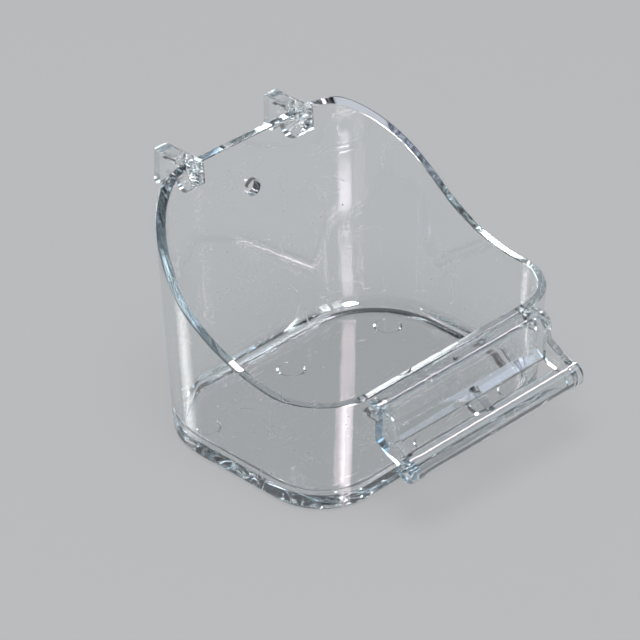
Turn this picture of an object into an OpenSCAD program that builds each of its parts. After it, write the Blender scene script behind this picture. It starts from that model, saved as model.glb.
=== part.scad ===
// Clear hang-on bird bath for a cage: an open tub with a swept rim,
// two snap hooks dovetailed into its back wall, and a perch plugged into its front wall.
// Millimetres. +Z is up, the perch is towards -Y and the hooks towards +Y.
// The origin is at the middle of the tub's underside.

/* [Tub] */
// Width of the base, side to side
base_w = 100; // [96:1:112]
// Depth of the base, front to back
base_d = 75.8; // [74:0.2:86]
// Corner radius of the base at the front
front_r = 17.6; // [14:0.2:18]
// Corner radius of the base at the back
back_r = 27.4; // [22:0.2:30]
// Wall thickness
wall_t = 2.8; // [2.4:0.1:3.2]
// Floor thickness
floor_t = 2.7; // [2:0.1:3.4]
// Outward lean of every wall, in degrees
draft = 3.2; // [2:0.1:4]
// Height of the rim at the front
front_h = 35.5; // [34:0.5:40]
// Height of the rim at the back
back_h = 73.2; // [70:0.2:80]
// Radius of the sweep from the low rim to the high rim
sweep_r = 57.5; // [45:0.5:60]
// Steepest slope of the rim, in degrees
rim_slope = 44.5; // [42:0.5:50]
// Radius of the crest, where the slope turns level at the back
crest_r = 2; // [1:0.2:4]
// Radius inside, between the floor and the walls
floor_r = 5; // [3:0.5:7]
// Rounding of the base's outer edge
foot_r = 1.2; // [0.6:0.1:2]
// Diameter of the hole in the back wall
hole_d = 5.2; // [4:0.1:6]
// Height of that hole
hole_z = 56.5; // [50:0.5:60]

/* [Hooks] */
// Distance between the two hooks, centre to centre
hook_gap = 44.2; // [36:0.2:46]
// Width of a hook
hook_w = 5; // [4.8:0.1:6]
// Reach of a hook behind the back wall
hook_reach = 11.9; // [11.6:0.1:14]
// Thickness of the arm over the wire
arm_t = 1.7; // [1.4:0.1:2.2]
// Thickness of the far leg
leg_t = 2.3; // [1.8:0.1:2.6]
// Length of the far leg, from the top of the arm
leg_h = 11.1; // [9:0.1:14]
// Radius of the snap bump that keeps the wire in
bump_r = 4.2; // [3.8:0.1:4.4]
// Width of the snap bump
bump_w = 3.6; // [3:0.1:4]
// Depth of the dovetail slot below the back rim
slot_h = 7.3; // [6.8:0.1:8]

/* [Perch] */
// Width of the perch frame
perch_w = 68.4; // [60:0.2:68.4]
// Thickness of the frame's end ribs
rib_t = 3.4; // [3:0.1:4]
// Thickness of the arms that carry the bar
perch_arm_t = 2.4; // [2:0.1:3]
// Depth of the ribs, front to back
rib_d = 4.45; // [3.8:0.05:5]
// Radius of the ribs' rounded shoulder
knee_r = 4.7; // [4.5:0.1:5.5]
// Thickness of the panel between the ribs
panel_t = 1.45; // [1.2:0.05:2]
// Diameter of the perch bar
bar_d = 7; // [5.5:0.1:7.2]
// Distance of the bar's axis in front of the tub
bar_out = 15.5; // [15:0.1:20]
// Height of the bar's axis
bar_z = 19.2; // [18:0.1:20.5]
// Diameter of the pegs that plug into the front wall
peg_d = 3; // [2.6:0.1:3.4]
// Height of the pegs
peg_z = 30.1; // [29:0.1:30.6]

/* [Hidden] */
$fn = 96;

// Slope of the walls, and the wall faces at the rim
lean = tan(draft);
front_y = -base_d / 2 - lean * front_h;
back_y = base_d / 2 + lean * back_h;
far = 200;

// The rim seen from the side: level, a sweep, a straight slope and a level crest
crest_y = back_y - wall_t;
slope_z = front_h + sweep_r * (1 - cos(rim_slope));
slope_y = crest_y - (back_h - slope_z) / tan(rim_slope);
sweep_y = slope_y - sweep_r * sin(rim_slope);
crest_run = crest_r * tan(rim_slope / 2);

// Round marks of the mould's pins under the floor: the middle one of each row sits further out
mark_d = 8;
mark_deep = 0.2;
mark_x = -1;
mark_step = 37;
mark_rows = [18.5, -29.5];
mark_bow = [4, -1.5];

// Dovetail root of a hook, and its play in the slot
root_in = 2.8;
root_out = 2.2;
root_y0 = back_y - wall_t - 0.15;
root_y1 = back_y + 0.4;
root_taper = (root_in - root_out) / (root_y1 - root_y0);
slot_play = 0.15;
root_z = back_h - slot_h;
root_hole_d = 3.5;
root_hole_z = root_z + 2;

// Hook measures behind the back wall's face
hook_top = back_h + 0.2;
wall_play = 0.2;
bump_v = 3.55;
bump_z = hook_top - arm_t - 0.85 - bump_r;
bump_bore = 2;
seat_r = 1.2;
eye_d = 3.2;
eye_v = 2.3;
pocket_v = 4.5;
pocket_l = 3.5;
pocket_deep = 0.9;

// Perch measures, taken outwards from the front wall's face at the rim
perch_play = 0.15;
rib_top = front_h - 0.2;
knee_u = 2.6;
rib_out = knee_u + knee_r;
rib_in = rib_out - rib_d;
shoulder_t = 3.8;
elbow_z = rib_top - 7.7;
heel_z = rib_top - 11.4;
lip_u = 7;
lip_z = bar_z + 1.3;
bar_top = bar_z + bar_d / 2 + 0.2;
hub_d = bar_d + 0.8;
hub_t = 3.4;
hub_proud = 0.4;
hub_recess_d = 4.6;
hub_recess = 1.6;
rib_x = perch_w / 2 - rib_t;
peg_x = perch_w / 2 - rib_t / 2;
peg_play = 0.05;
peg_reach = 4.2;
flange_u = 2.1;
flange_t = 1.2;
panel_r = 1.5;
panel_top = front_h - 1.3;
pad_d = 4.2;
pad_u = 1.3;
pad_step = 29.2;
gusset_t = 2.8;
gusset_u = 7.8;
gusset_z = elbow_z + (bar_top - elbow_z) * (gusset_u - rib_out) / (bar_out - rib_out);

// Extrudes an outline drawn in (Y, Z) across the width x0 to x0 + w
module across(x0, w) {
    translate([x0, 0, 0])
        rotate([90, 0, 90])
            linear_extrude(w)
                children();
}

// Places an outline drawn as (distance out from the front wall, Z)
module out_front() {
    translate([front_y, 0])
        mirror([1, 0])
            children();
}

// Section of floor and wall, from a line r inside the base's edge
module wall_section(r) {
    round_s = r + lean * (floor_t + floor_r) - wall_t - floor_r / cos(draft);
    round_z = floor_t + floor_r;
    touch_s = round_s + floor_r * cos(draft);
    touch_z = round_z - floor_r * sin(draft);
    foot_s = r + lean * foot_r - foot_r / cos(draft);
    foot_touch_s = foot_s + foot_r * cos(draft);
    foot_touch_z = foot_r - foot_r * sin(draft);
    top_s = r + lean * back_h;
    difference() {
        union() {
            polygon([
                [0, 0], [r, 0], [top_s, back_h], [top_s - wall_t, back_h],
                [r + lean * floor_t - wall_t, floor_t], [0, floor_t]
            ]);
            difference() {
                polygon([
                    [round_s, floor_t / 2], [r - wall_t / 2, floor_t / 2],
                    [touch_s + wall_t / 2, touch_z], [touch_s, touch_z], [round_s, floor_t]
                ]);
                translate([round_s, round_z])
                    circle(floor_r);
            }
        }
        difference() {
            polygon([
                [foot_s, -1], [r + 1, -1], [r + 1, foot_touch_z],
                [foot_touch_s, foot_touch_z], [foot_s, foot_r]
            ]);
            translate([foot_s, foot_r])
                circle(foot_r);
        }
    }
}

// Straight stretch of the tub's side, facing +X
module straight_side(length) {
    translate([0, length / 2, 0])
        rotate([90, 0, 0])
            linear_extrude(length)
                wall_section(front_r);
}

// One half of the tub before its rim is cut
module half_tub() {
    front_c = [base_w / 2 - front_r, front_r - base_d / 2];
    back_c = [base_w / 2 - back_r, base_d / 2 - back_r];
    translate(front_c)
        rotate(-90)
            rotate_extrude(angle = 90)
                wall_section(front_r);
    translate(back_c)
        rotate_extrude(angle = 90)
            wall_section(back_r);
    translate([front_c.x, (front_c.y + back_c.y) / 2, 0])
        straight_side(back_c.y - front_c.y);
}

// The tub with its walls at full height all round
module tall_tub() {
    front_c = [base_w / 2 - front_r, front_r - base_d / 2];
    back_c = [base_w / 2 - back_r, base_d / 2 - back_r];
    half_tub();
    mirror([1, 0, 0])
        half_tub();
    translate([0, front_c.y, 0])
        rotate(-90)
            straight_side(2 * front_c.x);
    translate([0, -front_c.y, 0])
        rotate(90)
            straight_side(2 * back_c.x);
    linear_extrude(floor_t)
        polygon([
            [-front_c.x, front_c.y], [front_c.x, front_c.y], [front_c.x, back_c.y], back_c,
            [back_c.x, -front_c.y], [-back_c.x, -front_c.y], [-back_c.x, back_c.y],
            [-front_c.x, back_c.y]
        ]);
}

// Everything that lies below the rim, seen from the side
module below_rim() {
    crest_cut_y = crest_y - crest_run * cos(rim_slope);
    crest_cut_z = back_h - crest_run * sin(rim_slope);
    difference() {
        polygon([
            [-far, -1], [far, -1], [far, back_h], [crest_y, back_h],
            [slope_y, slope_z], [sweep_y, front_h], [-far, front_h]
        ]);
        translate([sweep_y, front_h + sweep_r])
            circle(sweep_r);
        difference() {
            polygon([
                [crest_cut_y, crest_cut_z], [crest_y, back_h + 1],
                [crest_y + crest_run, back_h + 1], [crest_y + crest_run, back_h - crest_r]
            ]);
            translate([crest_y + crest_run, back_h - crest_r])
                circle(crest_r);
        }
    }
}

// Dovetail seen from above, wider inside the tub
module dovetail(y0, y1, play) {
    w0 = root_in - root_taper * (y0 - root_y0) + play;
    w1 = root_in - root_taper * (y1 - root_y0) + play;
    polygon([[-w0, y0], [w0, y0], [w1, y1], [-w1, y1]]);
}

module bath_tub() {
    color("lightcyan", 0.4)
        difference() {
            intersection() {
                tall_tub();
                across(-far / 2, far)
                    below_rim();
            }
            for (side = [-1, 1])
                translate([side * hook_gap / 2, 0, root_z - slot_play])
                    linear_extrude(slot_h + 5)
                        dovetail(root_y0 - 3, root_y1 + 1, slot_play);
            translate([0, 0, hole_z])
                rotate([-90, 0, 0])
                    cylinder(d = hole_d, h = far);
            for (side = [-1, 1])
                translate([side * peg_x, 0, peg_z])
                    rotate([90, 0, 0])
                        cylinder(d = peg_d + 2 * peg_play, h = far);
            for (column = [-1:1], row = [0, 1])
                translate([
                    mark_x + column * mark_step,
                    mark_rows[row] + (column == 0 ? mark_bow[row] : 0),
                    mark_deep - 1
                ])
                    cylinder(d = mark_d, h = 1);
        }
}

// Arm and far leg of a hook, seen from the side
module hook_frame() {
    leg_y = back_y + hook_reach - leg_t;
    translate([back_y + wall_play, hook_top - arm_t])
        square([hook_reach - wall_play, arm_t]);
    translate([leg_y, hook_top - leg_h + leg_t / 2])
        square([leg_t, leg_h - leg_t / 2]);
    translate([leg_y + leg_t / 2, hook_top - leg_h + leg_t / 2])
        circle(d = leg_t);
    difference() {
        translate([leg_y - seat_r, hook_top - arm_t - seat_r])
            square(seat_r + 0.5);
        translate([leg_y - seat_r, hook_top - arm_t - seat_r])
            circle(seat_r);
    }
}

// Hollow half-round snap bump, seen from the side
module hook_bump() {
    difference() {
        union() {
            translate([back_y + bump_v, bump_z])
                circle(bump_r);
            translate([back_y - wall_play, root_z + wall_play])
                square([bump_v, bump_z + bump_r - root_z - wall_play]);
        }
        translate([back_y - bump_r, bump_z - 2 * bump_r])
            square([bump_r + wall_play, root_z + wall_play - bump_z + 2 * bump_r]);
        translate([back_y - 2 * bump_r, bump_z])
            square([2 * bump_r - wall_play, 2 * bump_r]);
        translate([back_y + bump_v, bump_z])
            circle(bump_bore);
    }
}

// One snap hook, centred on x = 0
module hook() {
    difference() {
        union() {
            across(-hook_w / 2, hook_w)
                hook_frame();
            across(-bump_w / 2, bump_w)
                hook_bump();
            translate([0, 0, root_z])
                linear_extrude(hook_top - root_z)
                    dovetail(root_y0, root_y1, 0);
        }
        translate([0, back_y + bump_v, root_hole_z])
            rotate([90, 0, 0])
                cylinder(d = root_hole_d, h = far);
        translate([0, back_y + eye_v, hook_top - arm_t - 0.5])
            cylinder(d = eye_d, h = far);
        translate([-eye_d / 2, back_y + pocket_v, hook_top - pocket_deep])
            cube([eye_d, pocket_l, far]);
    }
}

module hook_left() {
    color("lightblue", 0.5)
        translate([-hook_gap / 2, 0, 0])
            hook();
}

module hook_right() {
    color("lightblue", 0.5)
        translate([hook_gap / 2, 0, 0])
            hook();
}

// Arm from the heel of the frame to the bar, seen from the side
module arm_side() {
    polygon([
        [rib_out, elbow_z], [bar_out, bar_top], [bar_out, bar_z], [bar_out - bar_d / 2, bar_z - 0.1],
        [lip_u + 0.75, lip_z - 0.4], [rib_in + 0.75, heel_z - 1], [rib_in, heel_z], [rib_in, elbow_z]
    ]);
}

// Middle gusset, which stands on the lip and runs out to the bar
module gusset_side() {
    polygon([
        [gusset_u, gusset_z], [bar_out, bar_top], [bar_out, bar_z], [bar_out - bar_d / 2, bar_z - 0.1],
        [lip_u + 0.75, lip_z - 0.4], [lip_u - 0.4, lip_z + 0.35], [lip_u + 0.2, lip_z + 1.7]
    ]);
}

// End rib: shoulder, leg and heel, seen from the side
module rib_side() {
    translate([perch_play, rib_top - shoulder_t])
        square([knee_u - perch_play, shoulder_t]);
    difference() {
        intersection() {
            translate([knee_u, rib_top - knee_r])
                circle(knee_r);
            translate([knee_u - 0.01, rib_top - knee_r])
                square(knee_r + 0.01);
        }
        translate([perch_play, rib_top - 2 * knee_r])
            square([rib_in - perch_play, 2 * knee_r - shoulder_t]);
    }
    translate([rib_in, elbow_z])
        square([rib_d, rib_top - knee_r - elbow_z]);
    polygon([
        [rib_in, elbow_z], [rib_out, elbow_z], [lip_u + 0.2, lip_z + 1.7],
        [lip_u - 0.4, lip_z + 0.35], [rib_in + 0.75, heel_z - 1], [rib_in, heel_z]
    ]);
}

// Panel between the ribs: flange, step, upright and turned-out lip
module panel_side() {
    panel_out = rib_in + panel_t;
    translate([perch_play, panel_top - panel_t])
        square([panel_out - panel_r - perch_play, panel_t]);
    translate([perch_play, panel_top - 0.5])
        square([flange_u - perch_play, flange_t + 0.5]);
    intersection() {
        translate([panel_out - panel_r, panel_top - panel_r])
            circle(panel_r);
        translate([panel_out - panel_r - 0.01, panel_top - panel_r])
            square(panel_r + 0.01);
    }
    translate([rib_in, heel_z])
        square([panel_t, panel_top - panel_r - heel_z]);
    polygon([
        [rib_in, heel_z], [rib_in + 0.75, heel_z - 1], [lip_u - 0.4, lip_z + 0.35],
        [lip_u + 0.2, lip_z + 1.7], [panel_out, heel_z + 0.5]
    ]);
}

module perch() {
    color("aliceblue", 0.5)
        difference() {
            union() {
                for (side = [-1, 1]) {
                    across(side * (rib_x + rib_t / 2) - rib_t / 2, rib_t)
                        out_front()
                            rib_side();
                    across(side * (perch_w - perch_arm_t) / 2 - perch_arm_t / 2, perch_arm_t)
                        out_front()
                            arm_side();
                    translate([side * (perch_w / 2 + hub_proud - hub_t / 2), front_y - bar_out, bar_z])
                        rotate([0, 90, 0])
                            cylinder(d = hub_d, h = hub_t, center = true);
                    translate([side * peg_x, front_y - rib_in - 0.5, peg_z])
                        rotate([-90, 0, 0])
                            cylinder(d = peg_d, h = rib_in + 0.5 + peg_reach - peg_d / 2);
                    translate([side * peg_x, front_y + peg_reach - peg_d / 2, peg_z])
                        sphere(d = peg_d);
                }
                across(-rib_x, 2 * rib_x)
                    out_front()
                        panel_side();
                across(-gusset_t / 2, gusset_t)
                    out_front()
                        gusset_side();
                translate([0, front_y - bar_out, bar_z])
                    rotate([0, 90, 0])
                        cylinder(d = bar_d, h = perch_w, center = true);
                for (column = [-1:1])
                    intersection() {
                        translate([column * pad_step, front_y - pad_u, panel_top])
                            cylinder(d = pad_d, h = flange_t);
                        translate([-perch_w / 2, front_y - perch_play - far, 0])
                            cube([perch_w, far, far]);
                    }
            }
            for (side = [-1, 1])
                translate([side * (perch_w / 2 + hub_proud), front_y - bar_out, bar_z])
                    rotate([0, 90, 0])
                        cylinder(d = hub_recess_d, h = 2 * hub_recess, center = true);
        }
}

bath_tub();
hook_left();
hook_right();
perch();
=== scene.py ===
import math

import bmesh
import bpy
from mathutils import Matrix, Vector


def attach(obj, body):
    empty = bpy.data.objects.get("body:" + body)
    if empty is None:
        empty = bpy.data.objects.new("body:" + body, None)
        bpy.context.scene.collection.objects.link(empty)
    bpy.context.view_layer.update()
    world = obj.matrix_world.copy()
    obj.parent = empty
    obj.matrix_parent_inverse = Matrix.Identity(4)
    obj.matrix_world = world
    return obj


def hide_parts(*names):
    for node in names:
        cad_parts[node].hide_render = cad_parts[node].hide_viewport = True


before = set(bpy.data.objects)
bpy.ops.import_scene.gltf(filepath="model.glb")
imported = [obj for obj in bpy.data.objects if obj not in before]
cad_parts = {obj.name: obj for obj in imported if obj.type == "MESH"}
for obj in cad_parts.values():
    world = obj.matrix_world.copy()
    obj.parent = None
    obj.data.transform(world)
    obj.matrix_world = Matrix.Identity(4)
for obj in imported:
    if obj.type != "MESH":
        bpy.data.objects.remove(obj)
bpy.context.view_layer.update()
mm = 0.001
mergeGap = 1e-6  # metres
scene = bpy.context.scene
print("frame loaded:", ", ".join(sorted(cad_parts)))


# node helpers, used by the geometry and the shader trees alike
def feed(tree, socket, value):
    if isinstance(value, bpy.types.NodeSocket):
        tree.links.new(value, socket)
    else:
        socket.default_value = value


def addNode(tree, kind, inputs=None, **settings):
    node = tree.nodes.new(kind)
    for key, value in settings.items():
        setattr(node, key, value)
    for key, value in (inputs or {}).items():
        feed(tree, node.inputs[key], value)
    return node


def calc(tree, operation, *values):
    node = addNode(tree, "ShaderNodeMath", operation=operation)
    for socket, value in zip(node.inputs, values):
        feed(tree, socket, value)
    return node.outputs[0]


def whole(tree, operation, first, second):
    node = addNode(tree, "FunctionNodeIntegerMath", {0: first, 1: second}, operation=operation)
    return node.outputs[0]


def vec(tree, x=0.0, y=0.0, z=0.0):
    return addNode(tree, "ShaderNodeCombineXYZ", {0: x, 1: y, 2: z}).outputs[0]


def moveAlong(tree, start, direction, amount):
    scaled = addNode(tree, "ShaderNodeVectorMath", {0: direction, "Scale": amount}, operation="SCALE")
    return addNode(tree, "ShaderNodeVectorMath", {0: start, 1: scaled.outputs[0]}, operation="ADD").outputs[0]


def pick(tree, index, values, dataType):
    node = addNode(tree, "GeometryNodeIndexSwitch", {0: index}, data_type=dataType)
    while len(node.index_switch_items) < len(values):
        node.index_switch_items.new()
    for slot, value in enumerate(values):
        feed(tree, node.inputs[slot + 1], value)
    return node.outputs[0]


def newTree(name, sockets):
    tree = bpy.data.node_groups.new(name, "GeometryNodeTree")
    tree.interface.new_socket("Geometry", in_out="OUTPUT", socket_type="NodeSocketGeometry")
    for title, kind in sockets.items():
        tree.interface.new_socket(title, in_out="INPUT", socket_type=kind)
    entry = tree.nodes.new("NodeGroupInput")
    return tree, entry.outputs


def endTree(tree, geometry, material):
    real = addNode(tree, "GeometryNodeRealizeInstances", {0: geometry})
    dressed = addNode(tree, "GeometryNodeSetMaterial", {"Geometry": real.outputs[0], "Material": material})
    tree.links.new(dressed.outputs[0], tree.nodes.new("NodeGroupOutput").inputs[0])


def growMesh(name, tree, values):  # runs a tree once and keeps its result as a plain mesh
    piece = bpy.data.objects.new(name, bpy.data.meshes.new(name))
    scene.collection.objects.link(piece)
    modifier = piece.modifiers.new("grow", "NODES")
    modifier.node_group = tree
    for item in tree.interface.items_tree:
        if item.in_out == "INPUT" and item.name in values:
            modifier[item.identifier] = values[item.name]
    evaluated = piece.evaluated_get(bpy.context.evaluated_depsgraph_get())
    grown = bpy.data.meshes.new_from_object(evaluated)
    piece.modifiers.clear()
    piece.data = grown
    return piece


# camera at the photograph's angle: the spot is what lies at the middle of the picture
cameraLook = {  # metres and degrees, the lens and its sensor in millimetres
    "spot": (-0.00806, 0.00385, 0.03008), "turn": -45.706, "tilt": 32.187, "away": 1.0863,
    "lens": 213.86, "sensor": 36.0,
}


def setCamera(look):
    turn = math.radians(look["turn"])
    tilt = math.radians(look["tilt"])
    back = Vector((math.sin(turn) * math.cos(tilt), -math.cos(turn) * math.cos(tilt), math.sin(tilt)))
    data = bpy.data.cameras.new("bathCamera")
    data.lens = look["lens"]
    data.sensor_width = look["sensor"]
    camera = bpy.data.objects.new("bathCamera", data)
    camera.location = Vector(look["spot"]) + back * look["away"]
    camera.rotation_euler = (-back).to_track_quat("-Z", "Y").to_euler()
    scene.collection.objects.link(camera)
    scene.camera = camera


setCamera(cameraLook)
print("camera set")


# surface effects that the clear plastics share: each takes a spot on the piece and puts out one mask
def newEffect(name, inputs):
    tree = bpy.data.node_groups.new(name, "ShaderNodeTree")
    tree.interface.new_socket("Mask", in_out="OUTPUT", socket_type="NodeSocketFloat")
    tree.interface.new_socket("Spot", in_out="INPUT", socket_type="NodeSocketVector")
    for title in inputs:
        tree.interface.new_socket(title, in_out="INPUT", socket_type="NodeSocketFloat")
    return tree, tree.nodes.new("NodeGroupInput").outputs


def endEffect(tree, mask):
    tree.links.new(mask, tree.nodes.new("NodeGroupOutput").inputs["Mask"])
    return tree


def grain(tree, spot, scale, detail=0.0):  # smooth noise from 0 to 1
    noise = addNode(tree, "ShaderNodeTexNoise", {"Vector": spot, "Scale": scale, "Detail": detail})
    return noise.outputs["Fac"]


def band(tree, value, low, high):  # 0 at low and 1 at high, with a soft step between
    node = addNode(tree, "ShaderNodeMapRange", {"Value": value, "From Min": low, "From Max": high},
                   interpolation_type="SMOOTHSTEP")
    return node.outputs["Result"]


scratchShape = {
    "turns": ((0.5, 0.2, 0.9), (1.3, 2.1, 0.3)), "cell": (0.2, 1.0, 1.0), "patches": 1.3, "fade": 0.08,
}


def scratchEffect():  # short hairlines: edges of long cells, kept only in small patches
    tree, given = newEffect("hairScratches", ["Per Metre", "Thin", "Kept"])
    edge = calc(tree, "SUBTRACT", 1.0, given["Kept"])
    patch = grain(tree, given["Spot"], calc(tree, "MULTIPLY", given["Per Metre"], scratchShape["patches"]))
    patch = band(tree, patch, edge, calc(tree, "ADD", edge, scratchShape["fade"]))
    marks = 0.0
    for turn in scratchShape["turns"]:
        laid = addNode(tree, "ShaderNodeMapping",
                       {"Vector": given["Spot"], "Rotation": turn, "Scale": scratchShape["cell"]}).outputs[0]
        cells = addNode(tree, "ShaderNodeTexVoronoi", {"Vector": laid, "Scale": given["Per Metre"]},
                        feature="DISTANCE_TO_EDGE")
        line = calc(tree, "SUBTRACT", 1.0, band(tree, cells.outputs["Distance"], 0.0, given["Thin"]))
        marks = calc(tree, "MAXIMUM", marks, line)
    return endEffect(tree, calc(tree, "MULTIPLY", marks, patch))


speckShape = {"least": 0.3, "core": 0.6, "patches": 35.0, "bare": 0.4, "dusty": 0.65}


def speckEffect():  # dust: a small dot in some of many cells, closer together in patches
    tree, given = newEffect("dustSpecks", ["Per Metre", "Size", "Kept"])
    cells = addNode(tree, "ShaderNodeTexVoronoi", {"Vector": given["Spot"], "Scale": given["Per Metre"]})
    chance = addNode(tree, "ShaderNodeSeparateColor", {0: cells.outputs["Color"]}).outputs
    least = speckShape["least"]
    size = calc(tree, "MULTIPLY", given["Size"], calc(tree, "MULTIPLY_ADD", chance[1], 1 - least, least))
    core = calc(tree, "MULTIPLY", size, speckShape["core"])
    dot = calc(tree, "SUBTRACT", 1.0, band(tree, cells.outputs["Distance"], core, size))
    patch = grain(tree, given["Spot"], speckShape["patches"])
    patch = band(tree, patch, speckShape["bare"], speckShape["dusty"])
    kept = calc(tree, "LESS_THAN", chance[0], calc(tree, "MULTIPLY", given["Kept"], patch))
    return endEffect(tree, calc(tree, "MULTIPLY", dot, kept))


hazeShape = {"detail": 1.0, "fade": 0.25, "finer": 9.0, "least": 0.3}


def hazeEffect():  # handling marks: soft clouds with a finer smear inside
    tree, given = newEffect("handlingHaze", ["Per Metre", "Start"])
    cloud = grain(tree, given["Spot"], given["Per Metre"], hazeShape["detail"])
    cloud = band(tree, cloud, given["Start"], calc(tree, "ADD", given["Start"], hazeShape["fade"]))
    least = hazeShape["least"]
    smear = grain(tree, given["Spot"], calc(tree, "MULTIPLY", given["Per Metre"], hazeShape["finer"]))
    smear = calc(tree, "MULTIPLY_ADD", smear, 1 - least, least)
    return endEffect(tree, calc(tree, "MULTIPLY", cloud, smear))


def flowEffect():  # the slow swell that the melt leaves in a moulded wall, crossed by curved flow lines
    tree, given = newEffect("meltFlow", ["Per Metre", "Lines"])
    swell = grain(tree, given["Spot"], given["Per Metre"])
    rings = addNode(tree, "ShaderNodeTexWave", {"Vector": given["Spot"], "Scale": given["Per Metre"]},
                    wave_type="RINGS", rings_direction="Y")
    lines = calc(tree, "MULTIPLY", calc(tree, "MULTIPLY", rings.outputs["Fac"], swell), given["Lines"])
    return endEffect(tree, calc(tree, "ADD", swell, lines))


effects = {"scratch": scratchEffect(), "dust": speckEffect(), "haze": hazeEffect(), "flow": flowEffect()}


# clear plastic: plain glass-clear stock that is bluish where it is thick, with the marks of moulding and use
def clearPlastic(name, look):
    material = bpy.data.materials.new(name)
    material.use_nodes = True
    tree = material.node_tree
    shader = tree.nodes["Principled BSDF"]
    spot = tree.nodes.new("ShaderNodeTexCoord").outputs["Object"]
    mask = {}
    for key, effect in effects.items():
        node = addNode(tree, "ShaderNodeGroup", node_tree=effect)
        feed(tree, node.inputs["Spot"], spot)
        for title, value in look[key].items():
            node.inputs[title].default_value = value
        mask[key] = node.outputs["Mask"]
    tint = addNode(tree, "ShaderNodeMix", {"Factor": mask["dust"]}, data_type="RGBA")
    tint.inputs[6].default_value = (*look["tint"], 1)  # the node's two colour sockets
    tint.inputs[7].default_value = (*look["dustTint"], 1)
    rough = look["roughness"]
    for key, more in look["rougher"].items():
        rough = calc(tree, "MULTIPLY_ADD", mask[key], more, rough)
    bump = addNode(tree, "ShaderNodeBump", {"Distance": look["swell"] * mm, "Height": mask["flow"]})
    feed(tree, shader.inputs["Base Color"], tint.outputs[2])
    feed(tree, shader.inputs["Roughness"], rough)
    feed(tree, shader.inputs["Normal"], bump.outputs[0])
    shader.inputs["IOR"].default_value = look["ior"]
    shader.inputs["Transmission Weight"].default_value = 1.0
    shader.inputs["Thin Film Thickness"].default_value = look["film"]
    shader.inputs["Thin Film IOR"].default_value = look["filmIor"]
    depth = addNode(tree, "ShaderNodeVolumeAbsorption")
    depth.inputs["Color"].default_value = (*look["deepTint"], 1)
    depth.inputs["Density"].default_value = look["deepDensity"]
    tree.links.new(depth.outputs[0], tree.nodes["Material Output"].inputs["Volume"])
    return material


# the swell is in millimetres and the film in nanometres
tubLook = {
    "tint": (0.985, 0.992, 0.995), "dustTint": (0.97, 0.97, 0.98), "roughness": 0.012, "ior": 1.57,
    "deepTint": (0.62, 0.74, 0.80), "deepDensity": 11.0, "swell": 0.014, "film": 540.0, "filmIor": 1.605,
    "scratch": {"Per Metre": 70.0, "Thin": 0.012, "Kept": 0.34},
    "dust": {"Per Metre": 480.0, "Size": 0.16, "Kept": 0.65},
    "haze": {"Per Metre": 24.0, "Start": 0.52},
    "flow": {"Per Metre": 26.0, "Lines": 0.06},
    "rougher": {"scratch": 0.35, "dust": 0.75, "haze": 0.06},
}
hookLook = {
    **tubLook, "deepDensity": 30.0, "swell": 0.02,
    "scratch": {"Per Metre": 160.0, "Thin": 0.014, "Kept": 0.40},
    "dust": {"Per Metre": 700.0, "Size": 0.14, "Kept": 0.25},
    "haze": {"Per Metre": 70.0, "Start": 0.55},
    "flow": {"Per Metre": 80.0, "Lines": 0.1},
}
perchLook = {
    **tubLook, "roughness": 0.014, "deepDensity": 30.0, "swell": 0.025,
    "scratch": {"Per Metre": 150.0, "Thin": 0.014, "Kept": 0.38},
    "dust": {"Per Metre": 520.0, "Size": 0.15, "Kept": 0.35},
    "haze": {"Per Metre": 45.0, "Start": 0.50},
    "flow": {"Per Metre": 60.0, "Lines": 0.1},
}
tubClear = clearPlastic("tubClear", tubLook)
hookClear = clearPlastic("hookClear", hookLook)
perchClear = clearPlastic("perchClear", perchLook)
print("materials made")


# the tub: a section of six corners is drawn at every column of the outline, its corners are rounded,
# and the sections are joined into one shell
tubSize = {  # millimetres
    "Base Width": 100, "Base Depth": 75.8, "Front Radius": 17.6, "Back Radius": 27.4,
    "Wall": 2.8, "Floor": 2.7, "Front Height": 35.5, "Back Height": 73.2,
    "Sweep Radius": 57.5, "Crest Radius": 2, "Floor Radius": 5, "Foot Radius": 1.2, "Rim Radius": 0.5,
}
tubTurn = {"Draft": 3.2, "Rim Slope": 44.5}  # degrees
tubCount = {"Columns": 320, "Corner Steps": 64, "Bend Steps": 8}
tubCut = {  # millimetres
    "hole": 5.2, "holeZ": 56.5, "peg": 3.1, "pegX": 32.5, "pegZ": 30.1, "pegSides": 40,
    "mark": 8, "markDeep": 0.2, "lineHalf": 0.25, "lineDeep": 0.35,
    "markX": -1, "markStep": 37, "markRows": (18.5, -29.5), "markBow": (4, -1.5),
    "hookX": 22.1, "rootDeep": 7.3, "rootIn": 2.8, "rootOut": 2.2, "rootInset": 0.15, "rootProud": 0.4,
    "play": 0.15,  # between a hook's root and its slot
    "past": 20,  # how far a cutter runs beyond the walls
}
rimRounds = 4  # rounds in which the rim's height settles


def legOf(tree, radius, side):  # the other leg of a right triangle
    wide = calc(tree, "MULTIPLY", radius, radius)
    squares = calc(tree, "SUBTRACT", wide, calc(tree, "MULTIPLY", side, side))
    return calc(tree, "SQRT", calc(tree, "MAXIMUM", squares, 0.0))


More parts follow.
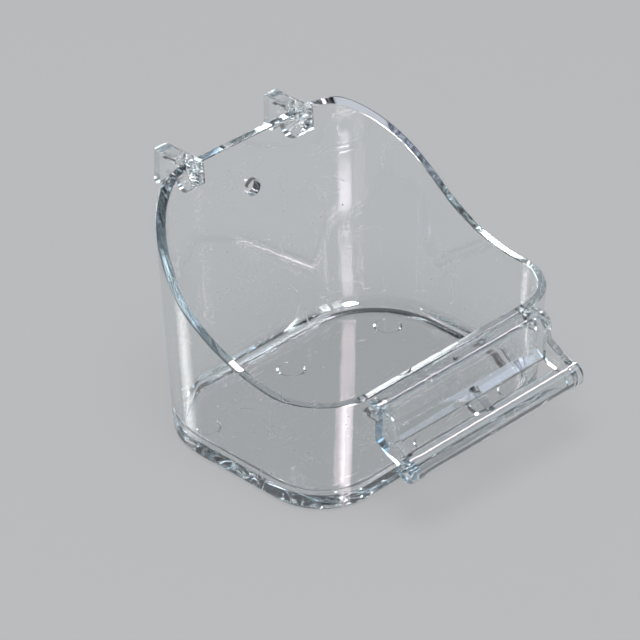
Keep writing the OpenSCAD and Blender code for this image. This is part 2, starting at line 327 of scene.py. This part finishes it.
def rimLine(tree, size, y, backFace):  # height of the rim above a place y
    slope = size["Rim Slope"]
    radius = size["Sweep Radius"]
    crest = size["Crest Radius"]
    reach = calc(tree, "MULTIPLY", radius, calc(tree, "SINE", slope))
    lift = calc(tree, "MULTIPLY", radius, calc(tree, "SUBTRACT", 1.0, calc(tree, "COSINE", slope)))
    rise = calc(tree, "SUBTRACT", calc(tree, "SUBTRACT", size["Back Height"], size["Front Height"]), lift)
    slopeY = calc(tree, "SUBTRACT", backFace, calc(tree, "DIVIDE", rise, calc(tree, "TANGENT", slope)))
    past = calc(tree, "ADD", calc(tree, "SUBTRACT", y, slopeY), reach)
    run = calc(tree, "MINIMUM", calc(tree, "MAXIMUM", past, 0.0), reach)
    arc = calc(tree, "SUBTRACT", radius, legOf(tree, radius, run))
    line = calc(tree, "MULTIPLY", calc(tree, "MAXIMUM", calc(tree, "SUBTRACT", y, slopeY), 0.0),
                calc(tree, "TANGENT", slope))
    low = calc(tree, "ADD", calc(tree, "ADD", size["Front Height"], arc), line)
    crestRun = calc(tree, "MULTIPLY", crest, calc(tree, "TANGENT", calc(tree, "MULTIPLY", slope, 0.5)))
    short = calc(tree, "SUBTRACT", calc(tree, "ADD", backFace, crestRun), y)
    crestReach = calc(tree, "MULTIPLY", crest, calc(tree, "SINE", slope))
    short = calc(tree, "MINIMUM", calc(tree, "MAXIMUM", short, 0.0), crestReach)
    top = calc(tree, "ADD", calc(tree, "SUBTRACT", size["Back Height"], crest), legOf(tree, crest, short))
    return calc(tree, "MINIMUM", low, top)


def rimPoint(tree, size, base, outward, lean, inset, backFace):  # where a wall face meets the rim
    baseY = addNode(tree, "ShaderNodeSeparateXYZ", {0: base}).outputs[1]
    outY = addNode(tree, "ShaderNodeSeparateXYZ", {0: outward}).outputs[1]
    height = size["Front Height"]
    for _ in range(rimRounds):
        offset = calc(tree, "SUBTRACT", calc(tree, "MULTIPLY", lean, height), inset)
        height = rimLine(tree, size, calc(tree, "MULTIPLY_ADD", outY, offset, baseY), backFace)
    offset = calc(tree, "SUBTRACT", calc(tree, "MULTIPLY", lean, height), inset)
    return moveAlong(tree, moveAlong(tree, base, outward, offset), vec(tree, z=1.0), height)


def sampled(tree, geometry, value, index):  # a vector field read at one point of a shape
    node = addNode(tree, "GeometryNodeSampleIndex", {"Geometry": geometry, "Index": index},
                   data_type="FLOAT_VECTOR")
    feed(tree, node.inputs["Value"], value)
    return node.outputs[0]


def tubTree():
    sockets = {title: "NodeSocketFloat" for title in (*tubSize, *tubTurn)}
    sockets.update({title: "NodeSocketInt" for title in tubCount})
    sockets.update(Cutters="NodeSocketObject", Material="NodeSocketMaterial")
    tree, size = newTree("tubShell", sockets)
    columns = size["Columns"]
    index = tree.nodes.new("GeometryNodeInputIndex").outputs[0]
    here = tree.nodes.new("GeometryNodeInputPosition").outputs[0]

    # outline of the base, with larger corners at the back
    oblong = addNode(tree, "GeometryNodeCurvePrimitiveQuadrilateral",
                     {"Width": size["Base Width"], "Height": size["Base Depth"]})
    atBack = calc(tree, "GREATER_THAN", addNode(tree, "ShaderNodeSeparateXYZ", {0: here}).outputs[1], 0.0)
    growth = calc(tree, "SUBTRACT", size["Back Radius"], size["Front Radius"])
    cornerRadius = calc(tree, "MULTIPLY_ADD", atBack, growth, size["Front Radius"])
    rounded = addNode(tree, "GeometryNodeFilletCurve", {"Curve": oblong.outputs[0],
                      "Count": size["Corner Steps"], "Radius": cornerRadius}, mode="POLY")
    outline = addNode(tree, "GeometryNodeResampleCurve", {"Curve": rounded.outputs[0], "Count": columns})
    outline = outline.outputs[0]

    # six corners of the section at each column
    corners = 6
    column = whole(tree, "DIVIDE_FLOOR", index, corners)
    corner = whole(tree, "MODULO", index, corners)
    base = sampled(tree, outline, here, column)
    tangent = sampled(tree, outline, tree.nodes.new("GeometryNodeInputTangent").outputs[0], column)
    flat = addNode(tree, "ShaderNodeSeparateXYZ", {0: tangent}).outputs
    outward = vec(tree, flat[1], calc(tree, "MULTIPLY", flat[0], -1.0))
    lean = calc(tree, "TANGENT", size["Draft"])
    wall = size["Wall"]
    halfDepth = calc(tree, "MULTIPLY", size["Base Depth"], 0.5)
    backFace = calc(tree, "SUBTRACT", calc(tree, "MULTIPLY_ADD", lean, size["Back Height"], halfDepth), wall)
    floorInset = calc(tree, "SUBTRACT", calc(tree, "MULTIPLY", lean, size["Floor"]), wall)
    up = vec(tree, z=1.0)
    section = [
        vec(tree),
        base,
        rimPoint(tree, size, base, outward, lean, 0.0, backFace),
        rimPoint(tree, size, base, outward, lean, wall, backFace),
        moveAlong(tree, moveAlong(tree, base, outward, floorInset), up, size["Floor"]),
        vec(tree, z=size["Floor"]),
    ]
    bends = [0.0, size["Foot Radius"], size["Rim Radius"], size["Rim Radius"], size["Floor Radius"], 0.0]
    dots = addNode(tree, "GeometryNodePoints", {"Count": whole(tree, "MULTIPLY", columns, corners)})
    placed = addNode(tree, "GeometryNodeSetPosition",
                     {"Geometry": dots.outputs[0], "Position": pick(tree, corner, section, "VECTOR")})
    strings = addNode(tree, "GeometryNodePointsToCurves",
                      {"Points": placed.outputs[0], "Curve Group ID": column, "Weight": index})
    bent = addNode(tree, "GeometryNodeFilletCurve", {"Curve": strings.outputs[0], "Count": size["Bend Steps"],
                   "Radius": pick(tree, corner, bends, "FLOAT")}, mode="POLY").outputs[0]

    # a closed sheet laid over the sections
    count = addNode(tree, "GeometryNodeAttributeDomainSize", {0: bent}, component="CURVE")
    rows = whole(tree, "DIVIDE", count.outputs["Point Count"], columns)
    around = whole(tree, "ADD", columns, 1)
    sheet = addNode(tree, "GeometryNodeMeshGrid", {"Vertices X": rows, "Vertices Y": around})
    row = whole(tree, "DIVIDE_FLOOR", index, around)
    turn = whole(tree, "MODULO", whole(tree, "MODULO", index, around), columns)
    spot = sampled(tree, bent, here, whole(tree, "ADD", whole(tree, "MULTIPLY", turn, rows), row))
    laid = addNode(tree, "GeometryNodeSetPosition", {"Geometry": sheet.outputs[0], "Position": spot})
    closed = addNode(tree, "GeometryNodeMergeByDistance", {"Geometry": laid.outputs[0], "Distance": mergeGap})
    cutters = addNode(tree, "GeometryNodeObjectInfo", {"Object": size["Cutters"]}).outputs["Geometry"]
    cut = addNode(tree, "GeometryNodeMeshBoolean", {"Mesh 1": closed.outputs[0], "Mesh 2": cutters},
                  operation="DIFFERENCE", solver="EXACT")
    endTree(tree, cut.outputs[0], size["Material"])
    return tree


def addRod(bm, radius, start, end, sides=64):
    axis = Vector(end) - Vector(start)
    turn = axis.to_track_quat("Z", "Y").to_matrix().to_4x4()
    turn.translation = (Vector(start) + Vector(end)) / 2
    bmesh.ops.create_cone(bm, cap_ends=True, segments=sides, radius1=radius, radius2=radius,
                          depth=axis.length, matrix=turn)


def addTurned(bm, spot, outline, sides=64):  # pairs of radius and height, turned about an upright axis
    rings = []
    for radius, height in outline:
        ring = []
        for n in range(sides if radius else 1):
            turn = math.tau * n / sides
            x = spot[0] + radius * math.cos(turn)
            y = spot[1] + radius * math.sin(turn)
            ring.append(bm.verts.new((x, y, height)))
        rings.append(ring)
    for low, high in zip(rings, rings[1:]):
        for n in range(sides):
            m = n + 1
            corners = (low[n % len(low)], low[m % len(low)], high[m % len(high)], high[n % len(high)])
            bm.faces.new(list(dict.fromkeys(corners)))  # three corners at a pole


def addPrism(bm, outline, low, high):
    bottom = [bm.verts.new((x, y, low)) for x, y in outline]
    top = [bm.verts.new((x, y, high)) for x, y in outline]
    bm.faces.new(bottom[::-1])
    bm.faces.new(top)
    for n in range(len(outline)):
        m = (n + 1) % len(outline)
        bm.faces.new((bottom[n], bottom[m], top[m], top[n]))


def slotOutline(x):  # dovetail seen from above, wider inside the tub
    cut = tubCut
    backFace = tubSize["Base Depth"] / 2 + math.tan(math.radians(tubTurn["Draft"])) * tubSize["Back Height"]
    inner = backFace - tubSize["Wall"] - cut["rootInset"]
    taper = (cut["rootIn"] - cut["rootOut"]) / (backFace + cut["rootProud"] - inner)
    near = inner - tubSize["Wall"]
    far = backFace + tubSize["Wall"] / 2
    wide = cut["rootIn"] + taper * (inner - near) + cut["play"]
    thin = cut["rootIn"] - taper * (far - inner) + cut["play"]
    return [(x - wide, near), (x + wide, near), (x + thin, far), (x - thin, far)]


def tubCutters():
    cut = tubCut
    bm = bmesh.new()
    past = cut["past"]
    half = tubSize["Base Depth"] / 2
    top = tubSize["Back Height"]
    addRod(bm, cut["hole"] / 2, (0, half - past, cut["holeZ"]), (0, half + past, cut["holeZ"]))
    for side in (-1, 1):
        x = side * cut["pegX"]
        z = cut["pegZ"]
        addRod(bm, cut["peg"] / 2, (x, -half - past, z), (x, past - half, z), cut["pegSides"])
        addPrism(bm, slotOutline(side * cut["hookX"]), top - cut["rootDeep"] - cut["play"], top + past)
    edge = cut["mark"] / 2
    deep = cut["markDeep"]
    line = (edge, cut["lineDeep"])  # the fine groove at a mark's edge
    pinMark = [(0, -deep), (edge + 2 * deep, -deep), line, (edge - cut["lineHalf"], deep), (0, deep)]
    for step in (-1, 0, 1):
        x = cut["markX"] + step * cut["markStep"]
        for y, bow in zip(cut["markRows"], cut["markBow"]):
            addTurned(bm, (x, y if step else y + bow), pinMark)
    bmesh.ops.recalc_face_normals(bm, faces=bm.faces)
    bmesh.ops.scale(bm, vec=(mm, mm, mm), verts=bm.verts)
    mesh = bpy.data.meshes.new("tubCutters")
    bm.to_mesh(mesh)
    bm.free()
    cutters = bpy.data.objects.new("tubCutters", mesh)
    scene.collection.objects.link(cutters)
    return cutters


smoothAngle = 30  # degrees, above which an edge stays sharp


def smoothFaces(piece, angle):
    piece.data.shade_smooth()
    piece.data.set_sharp_from_angle(angle=math.radians(angle))
    weighted = piece.modifiers.new("weighted", "WEIGHTED_NORMAL")
    weighted.keep_sharp = True


def makeTub():
    cutters = tubCutters()
    values = {title: size * mm for title, size in tubSize.items()}
    values.update({title: math.radians(angle) for title, angle in tubTurn.items()})
    values.update(tubCount, Cutters=cutters, Material=tubClear)
    tub = growMesh("bathTub", tubTree(), values)
    bpy.data.objects.remove(cutters)
    smoothFaces(tub, smoothAngle)
    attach(tub, "tub")
    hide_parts("bath_tub")
    return tub


tub = makeTub()
print("tub grown:", len(tub.data.vertices), "points")


# hooks and perch: the solids' own shapes, with their straight outer edges softened
def softCopy(name, node, material, soft):
    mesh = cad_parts[node].data.copy()
    bm = bmesh.new()
    bm.from_mesh(mesh)
    bmesh.ops.remove_doubles(bm, verts=bm.verts, dist=mergeGap)
    bmesh.ops.dissolve_limit(bm, angle_limit=math.radians(soft["flat"]), verts=bm.verts, edges=bm.edges)
    sharp = math.radians(soft["angle"])
    straight = [edge for edge in bm.edges if edge.is_manifold and edge.is_convex
                and edge.calc_face_angle() > sharp and edge.calc_length() > soft["least"] * mm]
    bmesh.ops.bevel(bm, geom=straight, offset=soft["width"] * mm, segments=soft["steps"], profile=0.5,
                    affect="EDGES", clamp_overlap=False)
    bmesh.ops.dissolve_degenerate(bm, dist=mergeGap, edges=bm.edges)
    bm.to_mesh(mesh)
    bm.free()
    mesh.materials.clear()
    mesh.materials.append(material)
    piece = bpy.data.objects.new(name, mesh)
    scene.collection.objects.link(piece)
    smoothFaces(piece, smoothAngle)
    return piece


softEdge = {  # millimetres and degrees
    "hook": {"flat": 0.5, "width": 0.12, "steps": 2, "least": 0.9, "angle": 60},
    "perch": {"flat": 0.5, "width": 0.15, "steps": 2, "least": 1.2, "angle": 60},
}
for name, node, body in (("hookLeft", "hook_left", "left_hook"), ("hookRight", "hook_right", "right_hook")):
    hook = softCopy(name, node, hookClear, softEdge["hook"])
    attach(hook, body)
    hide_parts(node)
perch = softCopy("perchFrame", "perch", perchClear, softEdge["perch"])
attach(perch, "perch")
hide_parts("perch")
print("hooks and perch copied")


# stage: pale floor, one soft box above, and narrow strips that only show as gloss
floorLook = {
    "half": 3.0, "drop": 0.0003,  # a hair below the base
    "color": (0.52, 0.53, 0.545), "rough": 0.8, "glow": 0.78,
    "mirror": 0.08, "mirrorRough": 0.08,  # polish, as it shows in the plastic's reflections alone
}
roomLook = {"color": (0.56, 0.57, 0.585), "light": 0.35, "seen": 0.22}
lampAim = (0, 0, 0.03)  # metres
lamps = {  # metres; a gloss lamp shows in the plastic alone, the other one lights the floor alone
    "overhead": {"at": (-0.25, -0.15, 1.35), "size": (0.9, 0.9), "watts": 12.0, "gloss": False},
    "frontStrip": {"at": (-0.03, -0.45, 0.33), "size": (0.15, 0.30), "watts": 16.5, "gloss": True},
    "backStrip": {"at": (-0.36, 0.78, 0.50), "size": (0.24, 0.6), "watts": 10.0, "gloss": True},
    "barStrip": {"at": (0.65, 0.21, 0.86), "size": (0.12, 0.3), "watts": 2.4, "gloss": True},
    "lipGlow": {"at": (0.67, -0.39, 0.78), "size": (0.12, 0.5), "watts": 0.5, "gloss": True,
                "color": (0.62, 0.82, 1.0)},
}
pathBounces = 28  # light runs a long way inside a clear wall


def seenRay(tree):  # 1 for a ray from the camera, or one that left a clear or glossy face
    path = tree.nodes.new("ShaderNodeLightPath").outputs
    seen = calc(tree, "ADD", path["Is Camera Ray"], path["Is Glossy Ray"])
    return calc(tree, "MINIMUM", calc(tree, "ADD", seen, path["Is Transmission Ray"]), 1.0)


def paleFloor():
    material = bpy.data.materials.new("paleFloor")
    material.use_nodes = True
    tree = material.node_tree
    shader = tree.nodes["Principled BSDF"]
    shader.inputs["Base Color"].default_value = (*floorLook["color"], 1)
    shader.inputs["Roughness"].default_value = floorLook["rough"]
    shader.inputs["Specular IOR Level"].default_value = 0.0
    glow = addNode(tree, "ShaderNodeEmission", {"Strength": 1.0})
    glow.inputs["Color"].default_value = (*floorLook["color"], 1)
    share = calc(tree, "MULTIPLY", seenRay(tree), floorLook["glow"])
    both = addNode(tree, "ShaderNodeMixShader", {0: share, 1: shader.outputs[0], 2: glow.outputs[0]})
    polish = addNode(tree, "ShaderNodeBsdfGlossy", {"Roughness": floorLook["mirrorRough"]})
    path = tree.nodes.new("ShaderNodeLightPath").outputs
    turned = calc(tree, "MINIMUM", path["Glossy Depth"], 1.0)  # 1 once the ray has been reflected
    share = calc(tree, "MULTIPLY", turned, floorLook["mirror"])
    laid = addNode(tree, "ShaderNodeMixShader", {0: share, 1: both.outputs[0], 2: polish.outputs[0]})
    tree.links.new(laid.outputs[0], tree.nodes["Material Output"].inputs["Surface"])
    half = floorLook["half"]
    z = -floorLook["drop"]
    mesh = bpy.data.meshes.new("paleFloor")
    corners = [(-half, -half, z), (half, -half, z), (half, half, z), (-half, half, z)]
    mesh.from_pydata(corners, [], [(0, 1, 2, 3)])
    mesh.materials.append(material)
    floor = bpy.data.objects.new("paleFloor", mesh)
    scene.collection.objects.link(floor)


def addLamp(name, lamp):
    data = bpy.data.lights.new(name, "AREA")
    data.shape = "RECTANGLE"
    data.size, data.size_y = lamp["size"]
    data.energy = lamp["watts"]
    data.color = lamp.get("color", (1, 1, 1))
    light = bpy.data.objects.new(name, data)
    light.location = lamp["at"]
    light.rotation_euler = (Vector(lampAim) - light.location).to_track_quat("-Z", "Y").to_euler()
    light.visible_camera = False
    light.visible_diffuse = not lamp["gloss"]
    light.visible_glossy = lamp["gloss"]
    light.visible_transmission = lamp["gloss"]
    scene.collection.objects.link(light)


def makeRoom():
    world = bpy.data.worlds.new("softRoom")
    world.use_nodes = True
    tree = world.node_tree
    back = tree.nodes["Background"]
    back.inputs["Color"].default_value = (*roomLook["color"], 1)
    more = calc(tree, "MULTIPLY", seenRay(tree), roomLook["seen"] - roomLook["light"])
    feed(tree, back.inputs["Strength"], calc(tree, "ADD", more, roomLook["light"]))
    scene.world = world


def makeStage():
    paleFloor()
    for name, lamp in lamps.items():
        addLamp(name, lamp)
    makeRoom()
    scene.cycles.max_bounces = pathBounces
    scene.cycles.glossy_bounces = pathBounces
    scene.cycles.transmission_bounces = pathBounces
    # the floor's own glow stands for the light that a clear part lets by
    scene.cycles.caustics_refractive = False
    scene.cycles.caustics_reflective = False
    scene.view_settings.view_transform = "Standard"


makeStage()
print("stage lit")
